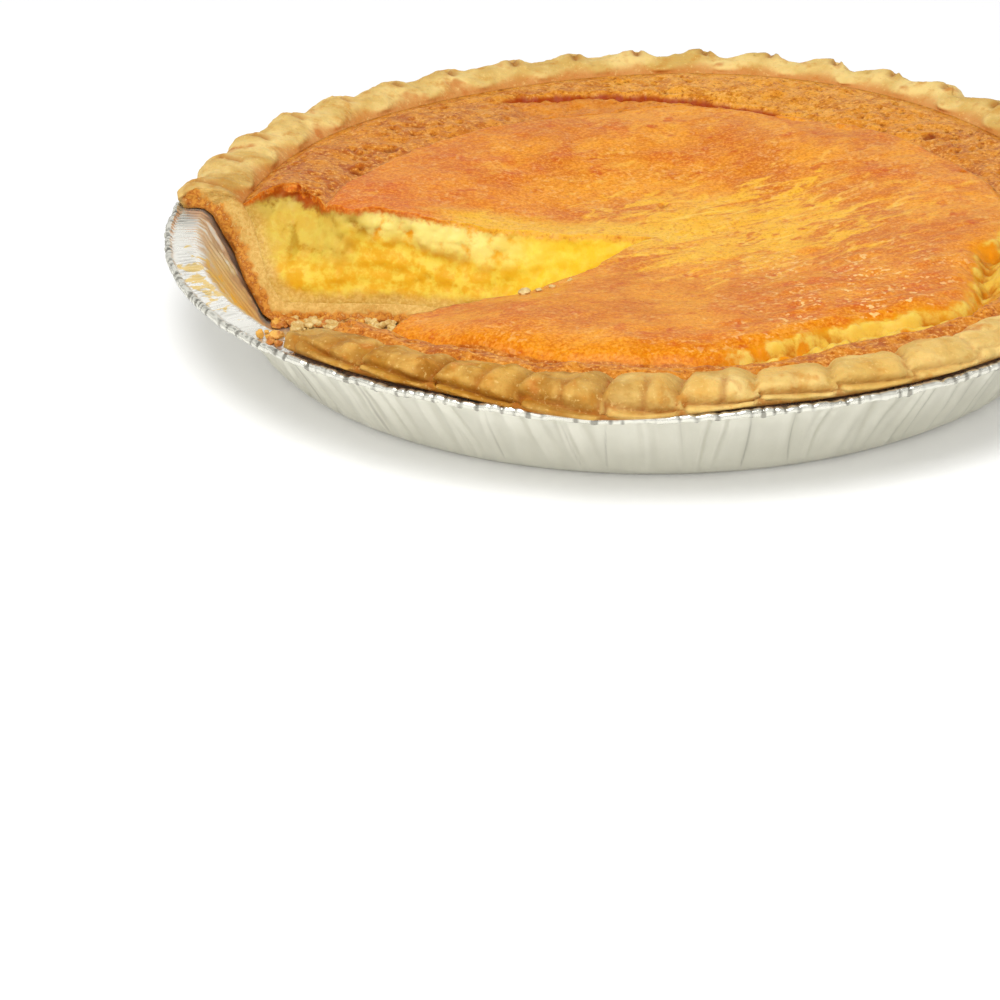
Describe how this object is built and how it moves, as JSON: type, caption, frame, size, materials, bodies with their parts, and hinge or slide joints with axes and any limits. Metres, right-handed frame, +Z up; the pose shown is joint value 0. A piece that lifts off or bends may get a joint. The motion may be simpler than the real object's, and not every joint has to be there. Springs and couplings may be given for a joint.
{
  "type": "lemon cream pie in a foil tin",
  "caption": "Baked lemon cream pie with a fluted pastry rim and a browned custard top, one wedge cut out, in its round foil tin with sloping pleated walls.",
  "frame": {"origin": "centre of the tin's base, on the surface it stands on", "axes": "+Z up, -Y towards the eater, +X to the eater's right, with the missing wedge at the left between about 177 and 225 degrees from +X"},
  "size_m": [0.244, 0.244, 0.0316],
  "materials": {
    "foil": "thin crimped foil, bright on the flange and lip, satin on the pleated wall",
    "pastry": "baked shortcrust, tan gold, browner in the creases and on the underside",
    "custard": "baked custard, glossy orange skin on top, pitted brown outer band, moist yellow inside"
  },
  "bodies": {
    "root": {"tin": "foil", "crust": "pastry", "filling": "custard"}
  },
  "joints": []
}
